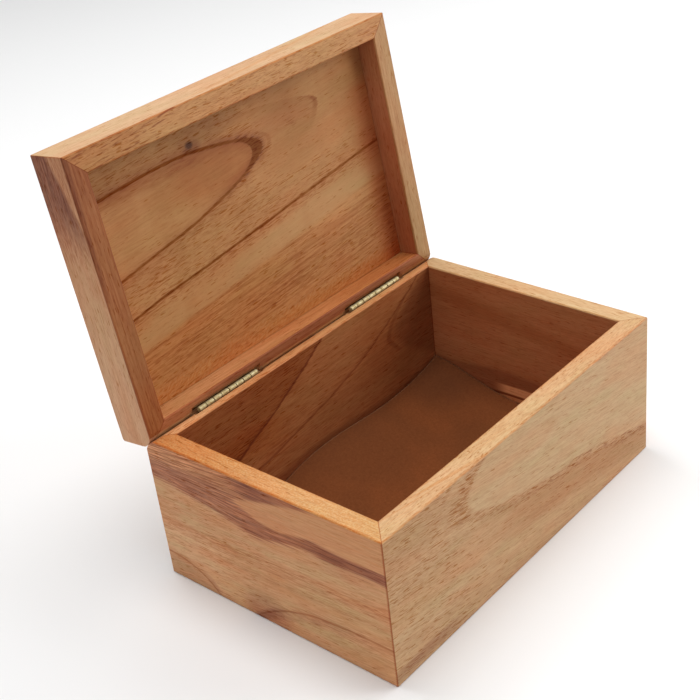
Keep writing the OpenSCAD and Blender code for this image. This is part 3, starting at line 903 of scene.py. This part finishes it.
def liner_lift(x, y):
    """How high the liner's underside stands above the bottom panel."""
    back = (CURL + RIPPLE * np.cos(2 * math.pi * (x - RIPPLE_CREST) / RIPPLE_LENGTH)) / (
        1 + np.exp(-(x - CURL_START) / CURL_FADE)
    )
    corner = CORNER_CURL * np.exp(-(LINER_HALF_LENGTH - x) / CORNER_WIDTH)
    fall = np.exp(-(((LINER_HALF_DEPTH - y) / CURL_WIDTH) ** CURL_POWER))
    return np.maximum(0.0, (back + corner) * fall - CURL_FLOOR)


def link_mesh(name, points, faces):
    """A new object in the scene, made from points in metres."""
    mesh = bpy.data.meshes.new(name)
    mesh.from_pydata(points, [], faces)
    mesh.update()
    piece = bpy.data.objects.new(name, mesh)
    bpy.context.scene.collection.objects.link(piece)
    return piece


def make_liner():
    x, y = np.meshgrid(
        np.linspace(-LINER_HALF_LENGTH, LINER_HALF_LENGTH, CELLS_X + 1),
        np.linspace(-LINER_HALF_DEPTH, LINER_HALF_DEPTH, CELLS_Y + 1),
    )
    under = BOTTOM + liner_lift(x, y)
    inset = np.minimum(LINER_HALF_LENGTH - np.abs(x), LINER_HALF_DEPTH - np.abs(y))
    over = under + LINER_THICK - CRUSH * np.exp(-inset / CRUSH_REACH)
    points = [
        (float(px) * MM, float(py) * MM, float(pz) * MM)
        for layer in (under, over)
        for px, py, pz in zip(x.ravel(), y.ravel(), layer.ravel())
    ]
    # the second layer's points follow the first's, and strips of quads close the four edges
    row = CELLS_X + 1
    up = row * (CELLS_Y + 1)
    quads = []
    for j in range(CELLS_Y):
        for i in range(CELLS_X):
            a = j * row + i
            quads.append((a, a + row, a + row + 1, a + 1))
            quads.append((up + a, up + a + 1, up + a + row + 1, up + a + row))
    for i in range(CELLS_X):
        front, back = i, CELLS_Y * row + i
        quads.append((front, front + 1, up + front + 1, up + front))
        quads.append((back + 1, back, up + back, up + back + 1))
    for j in range(CELLS_Y):
        left, right = j * row, j * row + CELLS_X
        quads.append((left + row, left, up + left, up + left + row))
        quads.append((right, right + row, up + right + row, up + right))
    liner = link_mesh("liner_sheet", points, quads)
    liner.data.shade_smooth()
    return liner


liner = make_liner()
liner.data.materials.append(suede())
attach(liner, "base")
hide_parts("floor_liner")

# Stage, light and camera. Places are in metres and powers in watts.
FLOOR_HALF, FLOOR_LEVEL, FLOOR_TONE, FLOOR_ROUGHNESS = 4.0, -0.0001, 0.86, 0.9
LIGHT_TARGET, LIGHT_SIZE, SKY_STRENGTH = (0.0, 0.0, 0.06), 0.9, 0.2
# name: (place, power)
LIGHTS = {
    "overhead": ((0.0, 0.0, 1.6), 12.0),
    "overhead_back": ((0.0, 0.7, 1.4), 9.0),
    "left": ((-1.5, -0.2, 0.6), 4.5),
    "right": ((1.5, -0.3, 0.6), 10.0),
    "right_front": ((1.0, -1.0, 1.0), 8.0),
    "right_low": ((1.4, -0.7, 0.25), 4.0),
}
EYE = Vector((-0.393828, -0.345525, 0.398405))
AZIMUTH, ELEVATION, ROLL = (math.radians(a) for a in (48.6513, -31.2697, -5.562))
LENS, SENSOR, SHIFT_X, SHIFT_Y = 69.733, 36.0, -0.0771, 0.0219
NEAR, FAR = 0.01, 20.0


def make_floor():
    corners = ((-1, -1), (1, -1), (1, 1), (-1, 1))
    floor = link_mesh(
        "floor", [(x * FLOOR_HALF, y * FLOOR_HALF, FLOOR_LEVEL) for x, y in corners], [(0, 1, 2, 3)]
    )
    tone = (FLOOR_TONE, FLOOR_TONE, FLOOR_TONE, 1.0)
    white = Shader("floor_white", **{"Base Color": tone, "Roughness": FLOOR_ROUGHNESS})
    floor.data.materials.append(white.material)


def make_light(name, place, power):
    data = bpy.data.lights.new(name, "AREA")
    data.shape = "DISK"
    data.size, data.energy = LIGHT_SIZE, power
    light = bpy.data.objects.new(name, data)
    light.location = place
    light.rotation_mode = "QUATERNION"
    light.rotation_quaternion = (Vector(LIGHT_TARGET) - Vector(place)).to_track_quat("-Z", "Y")
    bpy.context.scene.collection.objects.link(light)


def make_sky():
    sky = bpy.data.worlds.new("studio")
    sky.use_nodes = True
    background = sky.node_tree.nodes["Background"]
    background.inputs["Color"].default_value = (1.0, 1.0, 1.0, 1.0)
    background.inputs["Strength"].default_value = SKY_STRENGTH
    bpy.context.scene.world = sky


def make_camera():
    ahead = Vector((
        math.sin(AZIMUTH) * math.cos(ELEVATION),
        math.cos(AZIMUTH) * math.cos(ELEVATION),
        math.sin(ELEVATION),
    ))
    level = ahead.cross(Vector((0.0, 0.0, 1.0))).normalized()
    above = level.cross(ahead)
    right = level * math.cos(ROLL) + above * math.sin(ROLL)
    top = right.cross(ahead)
    data = bpy.data.cameras.new("camera")
    data.lens, data.sensor_width = LENS, SENSOR
    data.shift_x, data.shift_y = SHIFT_X, SHIFT_Y
    data.clip_start, data.clip_end = NEAR, FAR
    camera = bpy.data.objects.new("camera", data)
    turn = Matrix((right, top, -ahead)).transposed().to_4x4()
    camera.matrix_world = Matrix.Translation(EYE) @ turn
    bpy.context.scene.collection.objects.link(camera)
    bpy.context.scene.camera = camera


make_floor()
for name, (place, power) in LIGHTS.items():
    make_light(name, place, power)
make_sky()
make_camera()
bpy.context.scene.view_settings.view_transform = "Standard"

bpy.context.view_layer.update()
